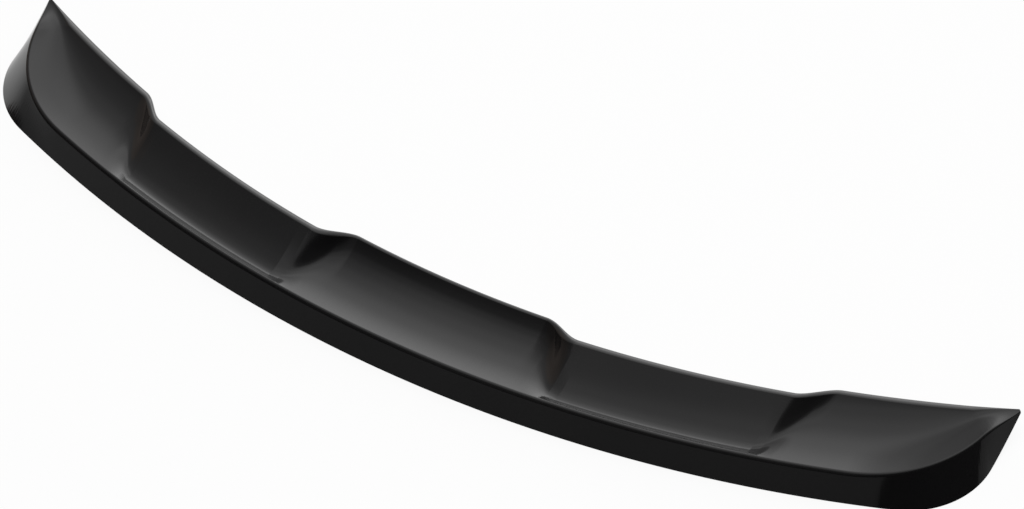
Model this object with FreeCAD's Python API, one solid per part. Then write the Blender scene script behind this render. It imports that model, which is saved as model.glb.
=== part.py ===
import FreeCAD, Part
import math
import os

Vector = FreeCAD.Vector

# Rear lip spoiler for a boot lid, moulded in one piece and open underneath.
# X runs across the car, +Y points to the front of the car and +Z is up.
# Lengths are millimetres and angles are degrees.

# Overall plan
half_span = 545.0          # centre line to wing tip
tip_sweep = 133.0          # wing tip ahead of the middle of the leading edge
tip_height = 23.0          # wing tip above the foot of the rear band
tip_blunt = 4.0            # left off the sharp point of each wing tip

# Leading edge, which lies on the boot lid
edge_height = 30.5         # top of the leading edge in the middle
edge_wall = 17.5           # height of the wall under the leading edge
edge_round_middle = 5.0    # rounding along the top of that wall
edge_round_wing = 10.0     # the same outside the middle scoop
edge_proud = 0.29          # share of that rounding that stands outside the edge's plan and height

# Two proud bridges that part the three scoops
bridge_setback = 20.0      # the leading edge moves back by this
bridge_rise = 8.0          # and up by this
bridge_inner = 95.0        # centre line to the start of the inner flank
bridge_inner_run = 58.0    # width of the inner flank
bridge_outer = 348.0       # centre line to the start of the outer flank
bridge_outer_run = 44.0    # width of the outer flank

# Lip along the trailing edge
lip_reach = 99.5           # leading edge to lip in the middle
lip_height = 31.0          # lip above the foot
lip_plan_radius = 1326.0   # long curve seen from above
lip_corner_radius = 150.0  # corner between the long curve and the wing's side
lip_side_angle = 15.0      # wing's side against the car's axis
lip_round = 4.0            # rounding along the lip

# Foot of the rear band
foot_lean = 9.0            # foot behind the lip in the middle
foot_flatter = 24.0        # plan radius of the foot less that of the lip
foot_corner_tighter = 58.0  # corner radius of the lip less that of the foot
foot_side_turn = 12.0      # side angle of the lip less that of the foot
foot_climb = 1.4           # power of the foot's climb along the wing's side

# Top skin: slope at its two ends, and the share of the reach that it holds for
scoop_fall = 34.0
scoop_fall_hold = 0.34
scoop_kick = 20.0
scoop_kick_hold = 0.40
bridge_fall = 20.0
bridge_fall_hold = 0.66
bridge_kick = 54.0
bridge_kick_hold = 0.32
flank_taper_front = 0.50   # width of a flank behind the leading edge, as a share of its run
flank_taper_rear = 0.30    # and ahead of the lip

# Hollow underside
wall = 3.0                 # skin thickness
foot_land = 6.0            # width of the foot, which takes the fixing tape
solid_tip = 60.0           # length of each wing tip that is moulded solid

# Section planes along each half of the span
hollow_planes = 75
tip_planes = 12            # closer together towards the point
fan_start = 0.68           # share of the span where the planes begin to turn
fan_end = 0.97             # share of the span where they face the tip
full_size_reach = 45.0     # sections with less reach have smaller details


def smoothstep(value):
    value = min(max(value, 0.0), 1.0)
    return value * value * (3.0 - 2.0 * value)


def blend(first, second, share):
    return first + (second - first) * share


def bridge_share(x, taper):
    """0 in a scoop and 1 on a bridge. A tapered flank keeps its upper edge and is narrower."""
    rise = smoothstep(1.0 - (bridge_inner + bridge_inner_run - x) / (taper * bridge_inner_run))
    fall = smoothstep((x - bridge_outer) / (taper * bridge_outer_run))
    return rise * (1.0 - fall)


class PlanCurve:
    """Right half of an outline seen from above: long arc, corner arc and straight side."""

    def __init__(self, middle_y, radius, corner_radius, side_angle):
        angle = math.radians(side_angle)
        tip = Vector(half_span, tip_sweep, 0)
        forward = Vector(math.sin(angle), math.cos(angle), 0)
        inward = Vector(-math.cos(angle), math.sin(angle), 0)
        arc_centre = Vector(0, middle_y + radius, 0)
        beside_tip = tip + inward * corner_radius
        offset = beside_tip - arc_centre
        along = offset.dot(forward)
        across = offset.dot(offset) - (radius - corner_radius) ** 2
        side_length = along + math.sqrt(along * along - across)
        corner_centre = beside_tip - forward * side_length
        to_corner = (corner_centre - arc_centre).normalize()
        arc_end = arc_centre + to_corner * radius
        arc_middle = arc_centre + (to_corner + Vector(0, -1, 0)).normalize() * radius
        corner_middle = corner_centre + (to_corner - inward).normalize() * corner_radius
        self.side_start = corner_centre - inward * corner_radius
        self.side = tip - self.side_start
        self.radius = radius
        self.edges = [
            arc(Vector(0, middle_y, 0), arc_middle, arc_end),
            arc(arc_end, corner_middle, self.side_start),
            line(self.side_start, tip),
        ]
        self.wire = Part.Wire(self.edges)

    def at_length(self, length):
        edge = self.edges[0]
        for following in self.edges[1:]:
            if length <= edge.Length:
                break
            length -= edge.Length
            edge = following
        return edge.valueAt(edge.getParameterByLength(min(length, edge.Length)))

    def crossing(self, start, direction):
        """Nearest point where a ray meets the outline."""
        ray = line(start, start + direction * half_span)
        points = [vertex.Point for vertex in self.wire.section(ray).Vertexes]
        return min(points, key=start.distanceToPoint)

    def side_share(self, point):
        """0 up to the start of the straight side, then rising to 1 at the tip."""
        return max(0.0, (point - self.side_start).dot(self.side) / self.side.dot(self.side))


def line(start, end):
    return Part.LineSegment(start, end).toShape()


def arc(start, middle, end):
    return Part.Arc(start, middle, end).toShape()


def bezier(poles):
    curve = Part.BezierCurve()
    curve.setPoles(poles)
    return curve.toShape()


def on_circle(centre, radius, angle):
    return (centre[0] + radius * math.cos(angle), centre[1] + radius * math.sin(angle))


def between(first, second, share):
    return (blend(first[0], second[0], share), blend(first[1], second[1], share))


def tangent_normal(centre, radius, point, side):
    """Normal's angle where a line from a point touches a circle, on the side given by a sign."""
    out = point[0] - centre[0]
    up = point[1] - centre[1]
    angle = math.atan2(up, out) + side * math.acos(radius / math.hypot(out, up))
    return angle % (2 * math.pi)


def rounding(centre, radius, first, last):
    """Poles of one cubic curve that follows a circle from one angle to another."""
    handle = radius * 4 / 3 * math.tan((last - first) / 4)
    start = on_circle(centre, radius, first)
    end = on_circle(centre, radius, last)
    after_start = on_circle(start, handle, first + math.pi / 2)
    before_end = on_circle(end, -handle, last + math.pi / 2)
    return [start, after_start, before_end, end]


class Section:
    """Upright plane from the leading edge out through the lip, at x on the leading edge.

    Points in it are pairs: distance out from the leading edge, and height.
    """

    def __init__(self, x, lip_plan, foot_plan):
        share = (x / half_span) ** 2
        bridge = bridge_share(x, 1.0)
        self.start = Vector(x, tip_sweep * share - bridge_setback * bridge, 0)
        level = blend(edge_height, tip_height, share)

        tip = Vector(half_span, tip_sweep, 0)
        straight = lip_plan.radius * math.asin(x / lip_plan.radius)
        fanned = lip_plan.wire.Length - tip.distanceToPoint(self.start)
        turn = smoothstep((x / half_span - fan_start) / (fan_end - fan_start))
        lip = lip_plan.at_length(blend(straight, fanned, turn))
        self.reach = lip.distanceToPoint(self.start)
        self.direction = (lip - self.start).normalize()
        foot = foot_plan.crossing(lip, self.direction)

        size = min(1.0, self.reach / full_size_reach)
        wing = smoothstep((x - bridge_inner) / bridge_inner_run)
        self.edge_round = size * blend(edge_round_middle, edge_round_wing, wing)
        self.lip_round = size * lip_round
        lip_z = blend(lip_height, tip_height, smoothstep(lip_plan.side_share(lip)))
        foot_z = tip_height * foot_plan.side_share(foot) ** foot_climb
        inset = (1 - edge_proud) * self.edge_round
        self.edge_foot = (inset - self.edge_round, level - size * edge_wall)
        self.foot = (foot.distanceToPoint(self.start), foot_z)
        self.edge_centre = (inset, level + bridge_rise * bridge - inset)
        self.lip_centre = (self.reach - self.lip_round, lip_z - self.lip_round)

        scoop_top = (inset - bridge_setback * bridge, level - inset)
        bridge_top = (scoop_top[0] + bridge_setback, scoop_top[1] + bridge_rise)
        scoop = self.handles(scoop_top, size, scoop_fall, scoop_fall_hold, scoop_kick, scoop_kick_hold)
        bridge = self.handles(bridge_top, size, bridge_fall, bridge_fall_hold, bridge_kick, bridge_kick_hold)
        self.after_front = between(scoop[0], bridge[0], bridge_share(x, flank_taper_front))
        self.before_rear = between(scoop[1], bridge[1], bridge_share(x, flank_taper_rear))
        self.fall_normal = tangent_normal(self.edge_centre, self.edge_round, self.after_front, 1)
        self.kick_normal = tangent_normal(self.lip_centre, self.lip_round, self.before_rear, -1)
        self.band_normal = tangent_normal(self.lip_centre, self.lip_round, self.foot, 1)

    def handles(self, edge_centre, size, fall, fall_hold, kick, kick_hold):
        """Two inner poles of a top skin that starts at a rounding about the given centre."""
        fall = size * math.radians(fall)
        kick = size * math.radians(kick)
        front = on_circle(edge_centre, self.edge_round, math.pi / 2 - fall)
        rear = on_circle(self.lip_centre, self.lip_round, math.pi / 2 + kick)
        length = rear[0] - front[0]
        return on_circle(front, length * fall_hold, -fall), on_circle(rear, -length * kick_hold, kick)

    def skin(self, depth):
        """Poles of the top skin's curve, at a depth below its outer face."""
        return [
            on_circle(self.edge_centre, self.edge_round - depth, self.fall_normal),
            on_circle(self.after_front, -depth, self.fall_normal),
            on_circle(self.before_rear, -depth, self.kick_normal),
            on_circle(self.lip_centre, self.lip_round - depth, self.kick_normal),
        ]

    def outer_edges(self):
        """Edges of the outer face, from the foot of the front wall to the foot of the band."""
        edge = rounding(self.edge_centre, self.edge_round, math.pi, self.fall_normal)
        lip = rounding(self.lip_centre, self.lip_round, self.kick_normal, self.band_normal)
        place = self.place
        return [
            line(place(self.edge_foot), place(edge[0])),
            bezier([place(pole) for pole in edge]),
            bezier([place(pole) for pole in self.skin(0.0)]),
            bezier([place(pole) for pole in lip]),
            line(place(lip[3]), place(self.foot)),
        ]

    def solid_outline(self):
        """Closed outline of a wing tip, which has no hollow."""
        bottom = line(self.place(self.foot), self.place(self.edge_foot))
        return Part.Wire(self.outer_edges() + [bottom])

    def hollow_outline(self):
        """Closed outline of the moulding's wall: outer face, foot, inner face and front wall."""
        skin = self.skin(wall)
        across_lip = (self.kick_normal - self.band_normal) / 2
        under_lip = on_circle(
            self.lip_centre,
            (self.lip_round - wall) / math.cos(across_lip),
            self.kick_normal - across_lip,
        )
        foot_inside = (self.foot[0] - foot_land, self.foot[1])
        front_top = (self.edge_foot[0] + wall, self.edge_centre[1] - wall)
        front_low = between(self.edge_foot, self.foot, wall / (self.foot[0] - self.edge_foot[0]))
        place = self.place
        return Part.Wire(self.outer_edges() + [
            line(place(self.foot), place(foot_inside)),
            line(place(foot_inside), place(under_lip)),
            line(place(under_lip), place(skin[3])),
            bezier([place(pole) for pole in reversed(skin)]),
            line(place(skin[0]), place(front_top)),
            line(place(front_top), place(front_low)),
            line(place(front_low), place(self.edge_foot)),
        ])

    def place(self, pair):
        """Point in space for a pair."""
        point = self.start + self.direction * pair[0]
        return Vector(point.x, point.y, pair[1])


def make_plans():
    """Outlines of the lip and of the foot, seen from above."""
    lip_plan = PlanCurve(-lip_reach, lip_plan_radius, lip_corner_radius, lip_side_angle)
    foot_plan = PlanCurve(
        -lip_reach - foot_lean,
        lip_plan_radius + foot_flatter,
        lip_corner_radius - foot_corner_tighter,
        lip_side_angle - foot_side_turn,
    )
    return lip_plan, foot_plan


def right_half(plans):
    """Hollow moulding from the middle to its solid tip."""
    hollow_end = half_span - solid_tip
    hollow_places = [hollow_end * step / hollow_planes for step in range(hollow_planes + 1)]
    tip_run = solid_tip - tip_blunt
    tip_turns = [math.pi / 2 * step / tip_planes for step in range(tip_planes + 1)]
    tip_places = [hollow_end + tip_run * math.sin(turn) for turn in tip_turns]
    hollow = Part.makeLoft([Section(x, *plans).hollow_outline() for x in hollow_places], True, False)
    tip = Part.makeLoft([Section(x, *plans).solid_outline() for x in tip_places], True, False)
    return hollow.fuse(tip)


def make_spoiler():
    right = right_half(make_plans())
    left = right.mirror(Vector(0, 0, 0), Vector(1, 0, 0))
    spoiler = right.fuse(left).Solids[0]
    box = spoiler.optimalBoundingBox(False, False)
    spoiler.translate(Vector(0, -(box.YMin + box.YMax) / 2, -box.ZMin))
    return spoiler


os.makedirs("parts", exist_ok=True)
spoiler = make_spoiler()
spoiler.exportStep("parts/spoiler_shell.step")
box = spoiler.optimalBoundingBox(False, False)
print("solids", len(spoiler.Solids), "valid", spoiler.isValid(), "litres", round(spoiler.Volume / 1e6, 3))
print("size", round(box.XLength, 1), round(box.YLength, 1), round(box.ZLength, 1))
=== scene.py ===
import bmesh
import bpy
import math
from functools import partial
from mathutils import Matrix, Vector
from types import SimpleNamespace


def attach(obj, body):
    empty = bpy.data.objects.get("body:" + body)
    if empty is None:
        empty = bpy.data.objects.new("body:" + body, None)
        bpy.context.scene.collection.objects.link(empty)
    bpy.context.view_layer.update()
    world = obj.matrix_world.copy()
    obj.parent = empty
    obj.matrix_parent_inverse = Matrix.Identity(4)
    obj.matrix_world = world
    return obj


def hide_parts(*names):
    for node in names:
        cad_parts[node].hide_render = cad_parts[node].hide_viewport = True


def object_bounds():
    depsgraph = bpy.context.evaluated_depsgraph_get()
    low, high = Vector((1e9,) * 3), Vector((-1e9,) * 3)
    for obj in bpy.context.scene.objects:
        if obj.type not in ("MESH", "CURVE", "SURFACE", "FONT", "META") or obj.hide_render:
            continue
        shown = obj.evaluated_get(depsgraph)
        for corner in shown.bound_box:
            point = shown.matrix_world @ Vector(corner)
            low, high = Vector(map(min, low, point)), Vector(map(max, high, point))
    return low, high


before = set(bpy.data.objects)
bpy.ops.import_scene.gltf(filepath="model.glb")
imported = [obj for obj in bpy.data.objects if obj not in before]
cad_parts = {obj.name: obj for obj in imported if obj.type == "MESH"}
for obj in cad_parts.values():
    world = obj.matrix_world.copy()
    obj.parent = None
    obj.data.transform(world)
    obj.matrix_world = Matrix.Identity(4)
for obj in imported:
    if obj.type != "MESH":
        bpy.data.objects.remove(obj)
cad_low, cad_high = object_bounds()
print("CAD box in mm", [round(1000 * side, 1) for side in cad_high - cad_low])

# %% [markdown]
# # The rule of the shape
# The real spoiler is one black moulding that lies on the rear edge of a boot lid. Its top
# has three scoops, parted by two proud bridges, and it ends in a lip with an upright band.
# Sculpting could give that form, but gloss black shows every dent. So the shape follows
# the same rule as the solid: upright sections along the span, each a ring of cubic curves.
# Only the right half is worked out, in millimetres and degrees, and then mirrored.

# %% Span and blending
half_span, tip_sweep, tip_height = 544.75, 132.4, 23.0
tip = Vector((half_span, tip_sweep))


def smoothstep(value):
    """Eased way from 0 to 1, level at both ends."""
    value = min(max(value, 0.0), 1.0)
    return value * value * (3.0 - 2.0 * value)


def blend(first, second, share):
    return first + (second - first) * share


print("tip to tip", 2 * half_span, "mm, swept forward", tip_sweep, "mm")

# %% [markdown]
# # Two outlines in plan
# Seen from above, the lip and the foot of the band are each a long arc, a corner arc and a
# straight side that ends at the wing tip. A curve object could be drawn by eye, but arcs
# that touch each other keep the reflections running evenly round the corner.

# %% Outline of long arc, corner arc and straight side
halvings = 50


def on_arc(centre, radius, turn):
    """Point on an arc, at an angle from the direction straight back."""
    return centre + radius * Vector((math.sin(turn), -math.cos(turn)))


class Plan:
    def __init__(self, middle_y, radius, corner_radius, side_angle):
        angle = math.radians(side_angle)
        self.forward = Vector((math.sin(angle), math.cos(angle)))
        inward = Vector((-math.cos(angle), math.sin(angle)))
        self.arc_centre, self.radius = Vector((0.0, middle_y + radius)), radius
        offset = tip + inward * corner_radius - self.arc_centre
        along = offset.dot(self.forward)
        across = offset.dot(offset) - (radius - corner_radius) ** 2
        self.side_length = along + math.sqrt(along * along - across)
        self.corner_radius = corner_radius
        self.corner_centre = tip + inward * corner_radius - self.forward * self.side_length
        to_corner = self.corner_centre - self.arc_centre
        self.arc_turn = math.atan2(to_corner.x, -to_corner.y)
        corner_turn = math.pi / 2 - angle - self.arc_turn
        self.side_start = self.corner_centre - inward * corner_radius
        self.arc_length = radius * self.arc_turn
        self.corner_length = corner_radius * corner_turn
        self.length = self.arc_length + self.corner_length + self.side_length

    def at(self, length):
        """Point at a length along the outline from the middle of the part."""
        if length <= self.arc_length:
            return on_arc(self.arc_centre, self.radius, length / self.radius)
        length -= self.arc_length
        if length <= self.corner_length:
            turn = self.arc_turn + length / self.corner_radius
            return on_arc(self.corner_centre, self.corner_radius, turn)
        length -= self.corner_length
        return self.side_start + self.forward * min(length, self.side_length)

    def crossing(self, start, direction):
        """Point where a ray from inside meets the outline, found by halving."""
        low, high = 0.0, self.length
        for _ in range(halvings):
            middle = (low + high) / 2
            to_point = self.at(middle) - start
            ahead = direction.x * to_point.y - direction.y * to_point.x > 0
            low, high = (low, middle) if ahead else (middle, high)
        return self.at(low)

    def side_share(self, point):
        """Share of the straight side that lies before a point."""
        return max(0.0, (point - self.side_start).dot(self.forward) / self.side_length)


# %% Outlines of the lip and the foot
lip_reach, lip_plan_radius, lip_corner_radius, lip_side_angle = 99.5, 1326.0, 150.0, 15.0
foot_lean, foot_flatter, foot_corner_tighter, foot_side_turn = 9.0, 24.0, 58.0, 14.2
lip_plan = Plan(-lip_reach, lip_plan_radius, lip_corner_radius, lip_side_angle)
foot_plan = Plan(
    -lip_reach - foot_lean,
    lip_plan_radius + foot_flatter,
    lip_corner_radius - foot_corner_tighter,
    lip_side_angle - foot_side_turn,
)
print("lip outline", round(lip_plan.length, 1), "mm a side")
print("foot outline", round(foot_plan.length, 1), "mm a side")

# %% [markdown]
# # Where the sections stand
# The leading edge steps back and up at each bridge, over a short flank at either end. A
# Boolean modifier would leave hard corners there. An eased share, 0 in a scoop and 1 on
# a bridge, lets all sizes of a section change along one soft flank. Near the wing tips
# the lip turns its corner, so the sections there fan out to follow it.

# %% Share of a bridge
bridge_setback, bridge_rise = 20.0, 8.0
bridge_inner, bridge_inner_run = 103.0, 43.0
bridge_outer, bridge_outer_run = 352.0, 36.0


def bridge_share(x, taper=1.0, deeper=0.0):
    """0 in a scoop and 1 on a bridge.

    A tapered flank starts later on the scoop's side.
    A deeper one reaches further into the bridge.
    """
    inner_end = bridge_inner + bridge_inner_run + deeper
    inner_run = taper * bridge_inner_run + deeper
    outer_start = bridge_outer - deeper
    outer_run = taper * bridge_outer_run + deeper
    rise = smoothstep(1.0 - (inner_end - x) / inner_run)
    return rise * (1.0 - smoothstep((x - outer_start) / outer_run))


print("each bridge is", bridge_outer - bridge_inner - bridge_inner_run, "mm long between flanks")

# %% Section in plan
fan_start, fan_end = 0.68, 0.97


def stand(x):
    """Where the section at a place along the span starts, heads, and meets lip and foot."""
    sweep = tip_sweep * (x / half_span) ** 2
    start = Vector((x, sweep - bridge_setback * bridge_share(x)))
    straight_back = lip_plan.radius * math.asin(x / lip_plan.radius)
    fanned = lip_plan.length - (tip - start).length
    turn = smoothstep((x / half_span - fan_start) / (fan_end - fan_start))
    lip = lip_plan.at(blend(straight_back, fanned, turn))
    direction = (lip - start).normalized()
    foot = foot_plan.crossing(lip, direction)
    return SimpleNamespace(start=start, direction=direction, lip=lip, foot=foot)


middle_stand = stand(0.0)
print("edge to lip in the middle", round((middle_stand.lip - middle_stand.start).length, 1), "mm")

# %% [markdown]
# # Leading edge, lip and foot
# A section starts with an upright wall that folds over into the top, and it ends in a
# rounded lip above the band. Bevels on a finished mesh would have one radius all along.
# Here each rounding has its own centre and radius, and shrinks where the tip gets narrow.

# %% Sizes and points that a section is drawn around
edge_height, edge_wall = 30.5, 17.5
edge_round_middle, edge_round_wing, edge_proud = 3.5, 7.5, 0.29
lip_height, lip_round = 31.0, 4.0
foot_climb = 1.4
full_size_reach = 45.0


def bones(x):
    """Sizes and points of the section at a place.

    A point is given by its distance from the section's start and its height.
    """
    stood, on_bridge = stand(x), bridge_share(x)
    reach = (stood.lip - stood.start).length
    size = min(1.0, reach / full_size_reach)
    level = blend(edge_height, tip_height, (x / half_span) ** 2)
    wing = smoothstep((x - bridge_inner) / bridge_inner_run)
    edge_radius = size * blend(edge_round_middle, edge_round_wing, wing)
    lip_radius = size * lip_round
    inset = (1 - edge_proud) * edge_radius
    lip_z = blend(lip_height, tip_height, smoothstep(lip_plan.side_share(stood.lip)))
    foot_z = tip_height * foot_plan.side_share(stood.foot) ** foot_climb
    return SimpleNamespace(
        x=x,
        start=stood.start,
        direction=stood.direction,
        size=size,
        edge_radius=edge_radius,
        lip_radius=lip_radius,
        edge_foot=Vector((inset - edge_radius, level - size * edge_wall)),
        edge_centre=Vector((inset, level + bridge_rise * on_bridge - inset)),
        scoop_top=Vector((inset - bridge_setback * on_bridge, level - inset)),
        lip_centre=Vector((reach - lip_radius, lip_z - lip_radius)),
        foot=Vector(((stood.foot - stood.start).length, foot_z)),
    )


print("middle section ends", round(bones(0.0).foot.x, 1), "mm behind the leading edge")

# %% [markdown]
# # Scoops and bridges
# A scoop falls steeply behind the leading edge, runs flat and kicks up into the lip. A
# bridge starts higher, falls evenly and kicks up only close to the lip. Loop cuts and
# proportional editing could dish the top, but one cubic curve needs only two angles and
# two handle lengths. On a flank the handles lie between a scoop's and a bridge's.

# %% Handles of the top skin
scoop = {"fall": 34.0, "fall_hold": 0.34, "kick": 20.0, "kick_hold": 0.40}
wing_scoop = {"fall": 20.0, "fall_hold": 0.34, "kick": 16.0, "kick_hold": 0.40}
wing_scoop_start, wing_scoop_run = 160.0, 180.0
bridge = {"fall": 19.5, "fall_hold": 0.79, "kick": 39.0, "kick_hold": 0.17}
flank_taper_front, flank_taper_rear = 0.62, 0.44
flank_deeper_front, flank_deeper_rear = 5.0, 11.0


def polar(centre, radius, angle):
    return Vector((centre[0] + radius * math.cos(angle), centre[1] + radius * math.sin(angle)))


def handles(cut, centre, form):
    """Two inner poles of a top skin that starts at a rounding about the given centre."""
    fall = cut.size * math.radians(form["fall"])
    kick = cut.size * math.radians(form["kick"])
    front = polar(centre, cut.edge_radius, math.pi / 2 - fall)
    rear = polar(cut.lip_centre, cut.lip_radius, math.pi / 2 + kick)
    length = rear.x - front.x
    after_front = polar(front, length * form["fall_hold"], -fall)
    before_rear = polar(rear, -length * form["kick_hold"], kick)
    return after_front, before_rear


def top_handles(cut):
    """Handles here, between those of a scoop and those of a bridge."""
    outward = smoothstep((cut.x - wing_scoop_start) / wing_scoop_run)
    scoop_here = {name: blend(scoop[name], wing_scoop[name], outward) for name in scoop}
    bridge_top = cut.scoop_top + Vector((bridge_setback, bridge_rise))
    scoop_front, scoop_rear = handles(cut, cut.scoop_top, scoop_here)
    bridge_front, bridge_rear = handles(cut, bridge_top, bridge)
    front_share = bridge_share(cut.x, flank_taper_front, flank_deeper_front)
    rear_share = bridge_share(cut.x, flank_taper_rear, flank_deeper_rear)
    return scoop_front.lerp(bridge_front, front_share), scoop_rear.lerp(bridge_rear, rear_share)


print("middle scoop's handles", [tuple(round(v, 1) for v in pole) for pole in top_handles(bones(0.0))])


# %% Top skin
def tangent_normal(centre, radius, point, side):
    """Normal's angle where a line from a point touches a circle, on the side given by a sign."""
    offset = point - centre
    angle = math.atan2(offset.y, offset.x) + side * math.acos(radius / offset.length)
    return angle % (2 * math.pi)


def with_top(cut):
    """Add the handles of the top, and the normals where the roundings touch it and the band."""
    cut.after_front, cut.before_rear = top_handles(cut)
    cut.fall_normal = tangent_normal(cut.edge_centre, cut.edge_radius, cut.after_front, 1)
    cut.kick_normal = tangent_normal(cut.lip_centre, cut.lip_radius, cut.before_rear, -1)
    cut.band_normal = tangent_normal(cut.lip_centre, cut.lip_radius, cut.foot, 1)
    return cut


def skin(cut, depth):
    """Top skin at a depth below the outside, as one cubic curve from edge to lip."""
    return [
        polar(cut.edge_centre, cut.edge_radius - depth, cut.fall_normal),
        polar(cut.after_front, -depth, cut.fall_normal),
        polar(cut.before_rear, -depth, cut.kick_normal),
        polar(cut.lip_centre, cut.lip_radius - depth, cut.kick_normal),
    ]


middle_cut = with_top(bones(0.0))
print("fall behind the middle's edge", round(90 - math.degrees(middle_cut.fall_normal), 1), "degrees")


# %% [markdown]
# # One ring
# Cut across anywhere, the moulding is a thin skin: wall under the leading edge, rounded
# fold, dished top, rounded lip, band, foot, and back along the inside. A Solidify modifier
# could give the wall, but not the wider foot. So fourteen cubic curves describe the ring,
# three of them along the top. A wing tip is solid, and there the inside folds onto the
# bottom line.

# %% Cubic curves
def straight(start, end):
    """A straight stretch written as a cubic curve."""
    return [start.lerp(end, third / 3) for third in range(4)]


def split(poles, share):
    """The two cubic curves that a cubic curve is made of, before and after a share of it."""
    rows = [poles]
    while len(rows[-1]) > 1:
        pairs = zip(rows[-1], rows[-1][1:])
        rows.append([first.lerp(second, share) for first, second in pairs])
    return [row[0] for row in rows], [row[-1] for row in reversed(rows)]


def in_three(poles):
    first, rest = split(poles, 1 / 3)
    return first, *split(rest, 1 / 2)


print("the top is drawn as", len(in_three(skin(middle_cut, 0.0))), "curves")

# %% Outside of the ring
wall_hold, crest_hold = 1.08, 0.30
lip_front_hold, lip_rear_hold = 1.0, 0.8


def rounding(centre, radius, first, last, start_hold, end_hold):
    """One cubic curve that follows a circle from one angle to another.

    A hold below 1 makes the turn at that end tighter than the circle's.
    """
    handle = radius * 4 / 3 * math.tan((last - first) / 4)
    start, end = polar(centre, radius, first), polar(centre, radius, last)
    quarter = math.pi / 2
    after_start = polar(start, handle * start_hold, first + quarter)
    before_end = polar(end, -handle * end_hold, last + quarter)
    return [start, after_start, before_end, end]


def outside(cut):
    """Seven curves over the top, from the foot of the leading edge to the foot of the band."""
    edge_turn = (math.pi, cut.fall_normal)
    edge = rounding(cut.edge_centre, cut.edge_radius, *edge_turn, wall_hold, crest_hold)
    lip_turn = (cut.kick_normal, cut.band_normal)
    lip = rounding(cut.lip_centre, cut.lip_radius, *lip_turn, lip_front_hold, lip_rear_hold)
    front_wall = straight(cut.edge_foot, edge[0])
    band = straight(lip[3], cut.foot)
    return [front_wall, edge, *in_three(skin(cut, 0.0)), lip, band]


lip_number = 5
print("the lip is curve", lip_number, "of", len(outside(middle_cut)), "on the outside, from 0")

# %% Inside of the ring
wall, foot_land = 3.0, 6.0
inside_curves = 7


def path(corners):
    """Straight stretches from corner to corner."""
    return [straight(first, second) for first, second in zip(corners, corners[1:])]


def inside(cut):
    """Curves back along the hollow, from the foot of the band to the leading edge."""
    inner = skin(cut, wall)
    half_turn = (cut.kick_normal - cut.band_normal) / 2
    corner_reach = (cut.lip_radius - wall) / math.cos(half_turn)
    under_lip = polar(cut.lip_centre, corner_reach, cut.kick_normal - half_turn)
    foot_inside = cut.foot - Vector((foot_land, 0.0))
    front_top = Vector((cut.edge_foot.x + wall, cut.edge_centre.y - wall))
    front_low = cut.edge_foot.lerp(cut.foot, wall / (cut.foot.x - cut.edge_foot.x))
    up_the_band = path([cut.foot, foot_inside, under_lip, inner[3]])
    down_the_front = path([inner[0], front_top, front_low, cut.edge_foot])
    return [*up_the_band, inner[::-1], *down_the_front]


def bottom(cut):
    """As many curves along the bottom line of a solid tip."""
    shares = [part / inside_curves for part in range(inside_curves + 1)]
    return path([cut.foot.lerp(cut.edge_foot, share) for share in shares])


curves_per_ring = len(outside(middle_cut) + inside(middle_cut))
print("a ring has", curves_per_ring, "curves")

# %% [markdown]
# # Stations along the span
# Sections at even steps would show as streaks in the gloss where the form turns fast. So
# the stations stand closer on the bridges' flanks and round the corners. Where the hollow
# ends, two stations share one place, which makes the wall that closes it. At each wing tip
# a last station shrinks to a point, so that the skin is closed.

# %% Places of the stations
stations_per_side, stations_per_flank, stations_per_corner = 80, 30, 60
corner_start, corner_run = 0.76 * half_span, 0.22 * half_span
tip_blunt, solid_tip = 2.75, 60.0
tip_end, hollow_end = half_span - tip_blunt, half_span - solid_tip
quarter_turns = [math.pi / 2 * step / stations_per_side for step in range(stations_per_side + 1)]
places = [tip_end * math.sin(turn) for turn in quarter_turns]
closer = [
    (bridge_inner, bridge_inner_run, stations_per_flank),
    (bridge_outer, bridge_outer_run, stations_per_flank),
    (corner_start, corner_run, stations_per_corner),
]
for first, run, count in closer:
    places += [first + run * (step + 0.5) / count for step in range(count)]
places.sort()
half = [(x, True) for x in places if x < hollow_end] + [(hollow_end, True)]
half += [(hollow_end, False)] + [(x, False) for x in places if x > hollow_end]
print(len(half), "stations on the right half")

# %% Cage of poles from tip to tip
metre = 0.001


def cage_row(x, mirror, hollow):
    """Poles of one ring in metres, in space."""
    cut = with_top(bones(x))
    row = []
    for curve in outside(cut) + (inside(cut) if hollow else bottom(cut)):
        for pole in curve:
            place = cut.start + cut.direction * pole.x
            row.append(Vector((mirror * place.x, place.y, pole.y)) * metre)
    return row


def closing(row):
    """Row of equal poles in the middle of an end row."""
    return [sum(row, Vector()) / len(row)] * len(row)


rows = [cage_row(x, -1, hollow) for x, hollow in reversed(half[1:])]
rows += [cage_row(x, 1, hollow) for x, hollow in half]
rows = [closing(rows[0]), *rows, closing(rows[-1])]
depths = [pole.y for row in rows for pole in row]
to_frame = Vector((0.0, (cad_low.y + cad_high.y - min(depths) - max(depths)) / 2, 0.0))
cage = bpy.data.meshes.new("spoiler_cage")
cage.from_pydata([pole + to_frame for row in rows for pole in row], [], [])
print("cage of", len(rows), "stations and", len(cage.vertices), "poles")
print("moved", round(to_frame.y / metre, 2), "mm into the frame")


# %% [markdown]
# # Gloss black plastic
# The part is polished black ABS, almost black by itself, so nearly all that shows is
# reflection. The band is given less specular than the top, as painted shade, and its left
# end more, as a painted reflection; the real part is equally glossy all over. Real
# mouldings also have a faint waviness and a little haze, which break up a reflection that
# would look drawn. An image texture could hold that, but noise in Object coordinates needs
# no file and no unwrapping.

# %% Node helpers
def connect(tree, value, socket):
    """Link a socket to another one, or set it to a plain value."""
    if isinstance(value, bpy.types.NodeSocket):
        tree.links.new(value, socket)
    else:
        socket.default_value = value


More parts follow.
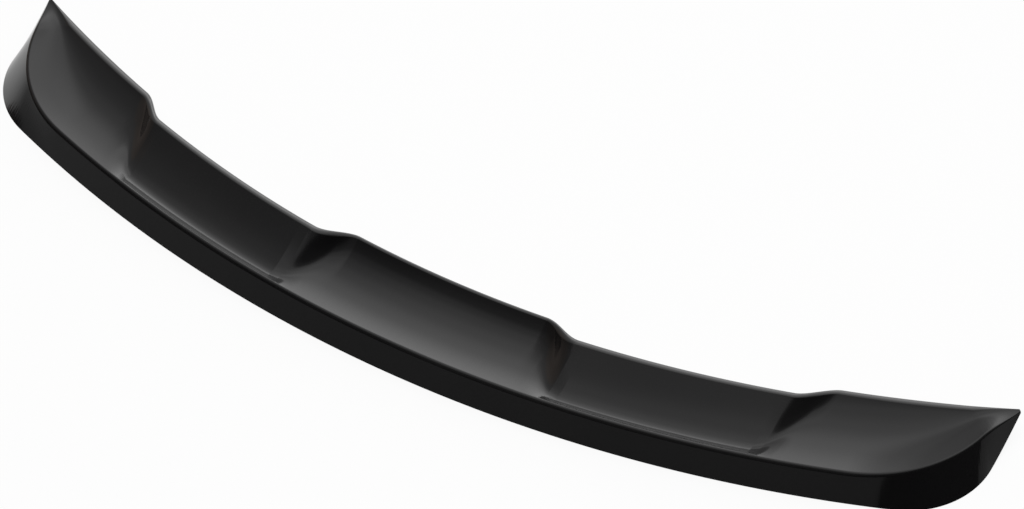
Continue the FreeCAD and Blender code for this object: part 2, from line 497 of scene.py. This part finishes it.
def new_node(tree, kind, inputs, **settings):
    """Node with its settings made first, and then its inputs by name or number."""
    node = tree.nodes.new(kind)
    for name, value in settings.items():
        setattr(node, name, value)
    for key, value in inputs.items():
        connect(tree, value, node.inputs[key])
    return node


def math_node(tree, operation, *values):
    return new_node(tree, "ShaderNodeMath", dict(enumerate(values)), operation=operation).outputs[0]


# %% Share of gloss, with painted shade on the band and a painted reflection at its left end
# Lower gloss on the band is painted shade, and higher gloss at its left end is a painted reflection.
top_gloss, band_painted_shade_gloss, left_end_painted_reflection_gloss = 0.5, 0.08, 0.9
band_painted_shade_gloss_start, band_painted_shade_gloss_end = lip_number + 0.3, lip_number + 1.0
left_end_reflection_full, left_end_reflection_gone = -0.525, -0.49


def eased(tree, value, start, end, before, after):
    """Socket that eases from one gloss to another while a value goes from start to end."""
    inputs = {"Value": value, "From Min": start, "From Max": end, "To Min": before, "To Max": after}
    node = new_node(tree, "ShaderNodeMapRange", inputs, interpolation_type="SMOOTHSTEP")
    return node.outputs["Result"]


def gloss_and_painted_light(tree, place):
    """Gloss of the top, with painted shade as lower gloss on the band below the lip, and a painted
    reflection as higher gloss at the band's left end.
    """
    across = new_node(tree, "ShaderNodeSeparateXYZ", {0: place}).outputs["X"]
    # Painted shade on the band, eased into a painted reflection at its left end.
    band = eased(tree, across, left_end_reflection_full, left_end_reflection_gone, left_end_painted_reflection_gloss, band_painted_shade_gloss)
    ring_place = new_node(tree, "ShaderNodeAttribute", {}, attribute_name="ring_place")
    along = ring_place.outputs["Fac"]
    return eased(tree, along, band_painted_shade_gloss_start, band_painted_shade_gloss_end, top_gloss, band)


print("gloss of the top", top_gloss, "of the band", band_painted_shade_gloss, "of its left end", left_end_painted_reflection_gloss)

# %% Material
cloud_scale, cloud_detail = 9.0, 4.0
dark_tone, pale_tone = (0.0045, 0.0045, 0.005, 1.0), (0.009, 0.0085, 0.0085, 1.0)
least_haze, most_haze = 0.07, 0.11
ripple_scale, ripple_strength, ripple_height = 420.0, 0.02, 0.0004


def gloss_black():
    material = bpy.data.materials.new("gloss_black")
    material.use_nodes = True
    tree = material.node_tree
    place = tree.nodes.new("ShaderNodeTexCoord").outputs["Object"]
    cloud_inputs = {"Vector": place, "Scale": cloud_scale, "Detail": cloud_detail}
    cloud = new_node(tree, "ShaderNodeTexNoise", cloud_inputs).outputs["Fac"]
    tone = new_node(tree, "ShaderNodeValToRGB", {"Fac": cloud})
    for element, colour in zip(tone.color_ramp.elements, (dark_tone, pale_tone)):
        element.color = colour
    haze_inputs = {"Value": cloud, "To Min": least_haze, "To Max": most_haze}
    haze = new_node(tree, "ShaderNodeMapRange", haze_inputs)
    ripple = new_node(tree, "ShaderNodeTexNoise", {"Vector": place, "Scale": ripple_scale})
    bump_inputs = {"Strength": ripple_strength, "Distance": ripple_height}
    bump = new_node(tree, "ShaderNodeBump", bump_inputs)
    connect(tree, ripple.outputs["Fac"], bump.inputs["Height"])
    shader = tree.nodes["Principled BSDF"]
    connect(tree, tone.outputs["Color"], shader.inputs["Base Color"])
    connect(tree, haze.outputs["Result"], shader.inputs["Roughness"])
    connect(tree, bump.outputs["Normal"], shader.inputs["Normal"])
    # Specular level carries the painted shade on the band and the painted reflection at its left end.
    connect(tree, gloss_and_painted_light(tree, place), shader.inputs["Specular IOR Level"])
    return material


black = gloss_black()
print("material", black.name, "with", len(black.node_tree.nodes), "nodes")

# %% [markdown]
# # Drawing the skin through the cage
# A Subdivision modifier on the cage would pull away from the real sections. Geometry Nodes
# can evaluate the cubic curves themselves: a grid has one row for each station, and each
# of its points reads four poles and weighs them. Edges that turn sharply stay crisp.

# %% Numbers of the grid's points
cubic_weights = (1.0, 3.0, 3.0, 1.0)
degree = len(cubic_weights) - 1


def grid_numbers(tree, stations, curves, steps):
    """Grid, and for its points the curve, the share of it, and the curve's first pole."""
    maths = partial(math_node, tree)
    ring_points = maths("ADD", maths("MULTIPLY", curves, steps), 1.0)
    sides = {"Vertices X": stations, "Vertices Y": ring_points}
    grid = new_node(tree, "GeometryNodeMeshGrid", sides).outputs["Mesh"]
    index = tree.nodes.new("GeometryNodeInputIndex").outputs[0]
    station = maths("FLOOR", maths("DIVIDE", maths("ADD", index, 0.5), ring_points))
    along = maths("SUBTRACT", index, maths("MULTIPLY", station, ring_points))
    curve = maths("FLOOR", maths("DIVIDE", maths("ADD", along, 0.5), steps))
    curve = maths("MINIMUM", curve, maths("SUBTRACT", curves, 1.0))
    share = maths("DIVIDE", maths("SUBTRACT", along, maths("MULTIPLY", curve, steps)), steps)
    ring = maths("ADD", maths("MULTIPLY", station, curves), curve)
    return grid, curve, share, maths("MULTIPLY", ring, degree + 1.0)


print("a curve of degree", degree, "reads", len(cubic_weights), "poles")


# %% Point on a cubic curve
def curve_point(tree, poles, first_pole, share):
    """Sum of four poles, each times its weight at a share of the curve."""
    maths = partial(math_node, tree)
    rest = maths("SUBTRACT", 1.0, share)
    position = tree.nodes.new("GeometryNodeInputPosition").outputs[0]
    total = (0.0, 0.0, 0.0)
    for pole, weight in enumerate(cubic_weights):
        rising = maths("POWER", share, float(pole))
        falling = maths("POWER", rest, float(degree - pole))
        amount = maths("MULTIPLY", maths("MULTIPLY", rising, falling), weight)
        read = {"Geometry": poles, "Value": position, "Index": maths("ADD", first_pole, float(pole))}
        sample = new_node(tree, "GeometryNodeSampleIndex", read, data_type="FLOAT_VECTOR")
        times = {0: sample.outputs[0], "Scale": amount}
        scaled = new_node(tree, "ShaderNodeVectorMath", times, operation="SCALE")
        plus = {0: total, 1: scaled.outputs[0]}
        total = new_node(tree, "ShaderNodeVectorMath", plus, operation="ADD").outputs[0]
    return total


# %% Geometry Nodes tree
merge_distance = 0.000002
tree_inputs = {
    "Geometry": "NodeSocketGeometry",
    "Stations": "NodeSocketInt",
    "Curves": "NodeSocketInt",
    "Steps": "NodeSocketInt",
    "Crease": "NodeSocketFloat",
    "Material": "NodeSocketMaterial",
}


def skin_tree():
    tree = bpy.data.node_groups.new("spoiler_skin", "GeometryNodeTree")
    for name, kind in tree_inputs.items():
        tree.interface.new_socket(name, in_out="INPUT", socket_type=kind)
    tree.interface.new_socket("Geometry", in_out="OUTPUT", socket_type="NodeSocketGeometry")
    given = tree.nodes.new("NodeGroupInput").outputs
    counts = [given[name] for name in ("Stations", "Curves", "Steps")]
    mesh, curve, share, first_pole = grid_numbers(tree, *counts)
    point = curve_point(tree, given["Geometry"], first_pole, share)
    ring_place = math_node(tree, "ADD", curve, share)
    turn = tree.nodes.new("GeometryNodeInputMeshEdgeAngle").outputs["Unsigned Angle"]
    smooth = math_node(tree, "LESS_THAN", turn, given["Crease"])
    steps = [
        ("GeometryNodeSetPosition", {"Position": point}, {}),
        ("GeometryNodeStoreNamedAttribute", {"Name": "ring_place", "Value": ring_place}, {}),
        ("GeometryNodeMergeByDistance", {"Distance": merge_distance}, {}),
        ("GeometryNodeSetShadeSmooth", {"Shade Smooth": smooth}, {"domain": "EDGE"}),
        ("GeometryNodeRealizeInstances", {}, {}),
        ("GeometryNodeSetMaterial", {"Material": given["Material"]}, {}),
    ]
    for kind, inputs, settings in steps:
        mesh = new_node(tree, kind, {"Geometry": mesh, **inputs}, **settings).outputs[0]
    new_node(tree, "NodeGroupOutput", {"Geometry": mesh})
    return tree


tree = skin_tree()
print("tree of", len(tree.nodes), "nodes")

# %% Skin made by the tree
steps_per_curve = 16
crease_angle = math.radians(32.0)
spoiler = bpy.data.objects.new("spoiler", cage)
bpy.context.scene.collection.objects.link(spoiler)
maker = spoiler.modifiers.new("skin", "NODES")
maker.node_group = tree
settings = {
    "Stations": len(rows),
    "Curves": curves_per_ring,
    "Steps": steps_per_curve,
    "Crease": crease_angle,
    "Material": black,
}
for socket in tree.interface.items_tree:
    if socket.in_out == "INPUT" and socket.name in settings:
        maker[socket.identifier] = settings[socket.name]
bpy.context.view_layer.update()
evaluated = spoiler.evaluated_get(bpy.context.evaluated_depsgraph_get())
skin_mesh = bpy.data.meshes.new_from_object(evaluated)
spoiler.modifiers.remove(maker)
print("skin of", len(skin_mesh.vertices), "vertices")

# %% Spoiler
least_edge = 0.000001
millilitres = 1e6
shell = bmesh.new()
shell.from_mesh(skin_mesh)
bmesh.ops.dissolve_degenerate(shell, dist=least_edge, edges=shell.edges)
bmesh.ops.recalc_face_normals(shell, faces=shell.faces)
open_edges = sum(1 for edge in shell.edges if not edge.is_manifold)
shell.to_mesh(skin_mesh)
print("volume", round(shell.calc_volume() * millilitres, 1), "ml, open edges", open_edges)
shell.free()
spoiler.data = skin_mesh
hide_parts("spoiler_shell")
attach(spoiler, "root")

# %% [markdown]
# # Studio
# Product photographs of gloss black parts are lit by what the part mirrors. Lamps or
# white sheets could do that, but each leaves an edge in the gloss. So the air itself
# carries the light: bright on the far side, dark on the right, dim and warm on the left.
# One soft panel overhead lights the floor and isn't seen in reflections. The floor is
# whitened where it is seen, as in a cut-out picture, and still shows a faint shadow.

# %% Floor
floor_size, floor_gap = 14.0, 0.0002
floor_whitening = 0.9
floor_tone, floor_roughness = (0.9, 0.9, 0.9, 1.0), 0.9


def floor_material():
    """Pale matt floor, whitened where it is seen directly or in a reflection."""
    material = bpy.data.materials.new("studio_floor")
    material.use_nodes = True
    tree = material.node_tree
    shader = tree.nodes["Principled BSDF"]
    shader.inputs["Roughness"].default_value = floor_roughness
    shader.inputs["Specular IOR Level"].default_value = 0.0
    shader.inputs["Base Color"].default_value = floor_tone
    rays = tree.nodes.new("ShaderNodeLightPath").outputs
    seen = rays["Is Camera Ray"]
    for kind in ("Is Glossy Ray", "Is Transmission Ray"):
        seen = math_node(tree, "MAXIMUM", seen, rays[kind])
    share = math_node(tree, "MULTIPLY", seen, floor_whitening)
    white = tree.nodes.new("ShaderNodeEmission").outputs[0]
    mix = new_node(tree, "ShaderNodeMixShader", {"Fac": share, 1: shader.outputs[0], 2: white})
    connect(tree, mix.outputs[0], tree.nodes["Material Output"].inputs["Surface"])
    return material


floor_place = (0.0, 0.0, cad_low.z - floor_gap)
bpy.ops.mesh.primitive_plane_add(size=floor_size, location=floor_place)
floor = bpy.context.object
floor.name = "floor"
floor.data.materials.append(floor_material())
print("floor of", floor_size, "m, whitened by", floor_whitening)

# %% Soft panel overhead
panel_place, panel_aim = Vector((0.0, 0.4, 3.0)), Vector((0.0, 0.0, 0.0))
panel_width, panel_depth, panel_power = 4.0, 3.0, 80.0
lamp = bpy.data.lights.new("top_sheet", "AREA")
lamp.shape = "RECTANGLE"
lamp.size, lamp.size_y, lamp.energy = panel_width, panel_depth, panel_power
top_sheet = bpy.data.objects.new("top_sheet", lamp)
top_sheet.location = panel_place
top_sheet.rotation_euler = (panel_aim - panel_place).to_track_quat("-Z", "Y").to_euler()
top_sheet.visible_glossy = False
bpy.context.scene.collection.objects.link(top_sheet)
print("panel of", panel_width, "by", panel_depth, "m and", panel_power, "W")


# %% Light that follows a direction
def light_ramp(tree, towards, stops):
    """Colour that follows the angle from a direction, by stops of degrees and colour."""
    place = tree.nodes.new("ShaderNodeTexCoord").outputs["Generated"]
    dot = {0: place, 1: towards}
    along = new_node(tree, "ShaderNodeVectorMath", dot, operation="DOT_PRODUCT").outputs["Value"]
    share = new_node(tree, "ShaderNodeMapRange", {"Value": along, "From Min": -1.0})
    node = new_node(tree, "ShaderNodeValToRGB", {"Fac": share.outputs["Result"]})
    ramp = node.color_ramp
    ramp.interpolation = "EASE"
    while len(ramp.elements) < len(stops):
        ramp.elements.new(0.5)
    for element, (angle, colour) in zip(ramp.elements, stops):
        element.position = (math.cos(math.radians(angle)) + 1) / 2
        element.color = (*colour, 1.0)
    return node.outputs["Color"]


def studio_air(far_stops, side_stops, strength):
    """World whose light is the product of a ramp towards the front and one to the right."""
    world = bpy.data.worlds.new("studio_air")
    world.use_nodes = True
    tree = world.node_tree
    far = light_ramp(tree, (0.0, 1.0, 0.0), far_stops)
    side = light_ramp(tree, (1.0, 0.0, 0.0), side_stops)
    both = new_node(tree, "ShaderNodeVectorMath", {0: far, 1: side}, operation="MULTIPLY")
    background = tree.nodes["Background"]
    connect(tree, both.outputs[0], background.inputs["Color"])
    background.inputs["Strength"].default_value = strength
    return world


# %% World
air_strength = 3.25


def grey(value):
    return (value, value, value)


far_stops = [
    (180.0, grey(0.04)),
    (116.0, grey(0.045)),
    (104.0, grey(0.065)),
    (92.0, grey(0.17)),
    (80.0, grey(0.27)),
    (60.0, grey(0.38)),
    (38.0, grey(0.52)),
    (14.0, grey(0.87)),
]
side_stops = [
    (165.0, (0.30, 0.25, 0.22)),
    (140.0, (0.34, 0.30, 0.27)),
    (126.0, grey(0.31)),
    (119.0, grey(0.34)),
    (114.0, grey(0.44)),
    (107.0, grey(0.77)),
    (100.0, grey(0.74)),
    (90.0, grey(0.82)),
    (76.0, grey(0.70)),
    (62.0, grey(0.20)),
    (50.0, grey(0.08)),
]
bpy.context.scene.world = studio_air(far_stops, side_stops, air_strength)
print("world of", len(far_stops), "stops to the front and", len(side_stops), "to the right")

# %% [markdown]
# # Camera
# The photograph looks down on the part from the rear right with a long lens. A camera could
# be moved by eye until the picture fits. Here its angles, distance and shift were worked
# out from the outlines of the lip, foot and leading edge, which is more exact.

# %% Camera
azimuth, elevation = math.radians(29.57), math.radians(50.0)
focal_pixels, image_width = 4413.0, 1024.0
middle_seen_left, middle_seen_low = 61.44, 45.55
distance, far_clip, sensor_width = 4.2745, 100.0, 36.0
middle_of_edge = Vector((0.0, to_frame.y, 0.0))
level_reach = math.cos(elevation)
back = Vector((
    math.sin(azimuth) * level_reach,
    -math.cos(azimuth) * level_reach,
    math.sin(elevation),
))
lens = bpy.data.cameras.new("camera")
lens.sensor_width = sensor_width
lens.lens = sensor_width * focal_pixels / image_width
lens.shift_x = middle_seen_left / image_width
lens.shift_y = middle_seen_low / image_width
lens.clip_end = far_clip
camera = bpy.data.objects.new("camera", lens)
camera.location = middle_of_edge + back * distance
camera.rotation_mode = "QUATERNION"
camera.rotation_quaternion = (-back).to_track_quat("-Z", "Y")
bpy.context.scene.collection.objects.link(camera)
bpy.context.scene.camera = camera
bpy.context.scene.view_settings.view_transform = "Standard"
print("lens", round(lens.lens, 1), "mm")
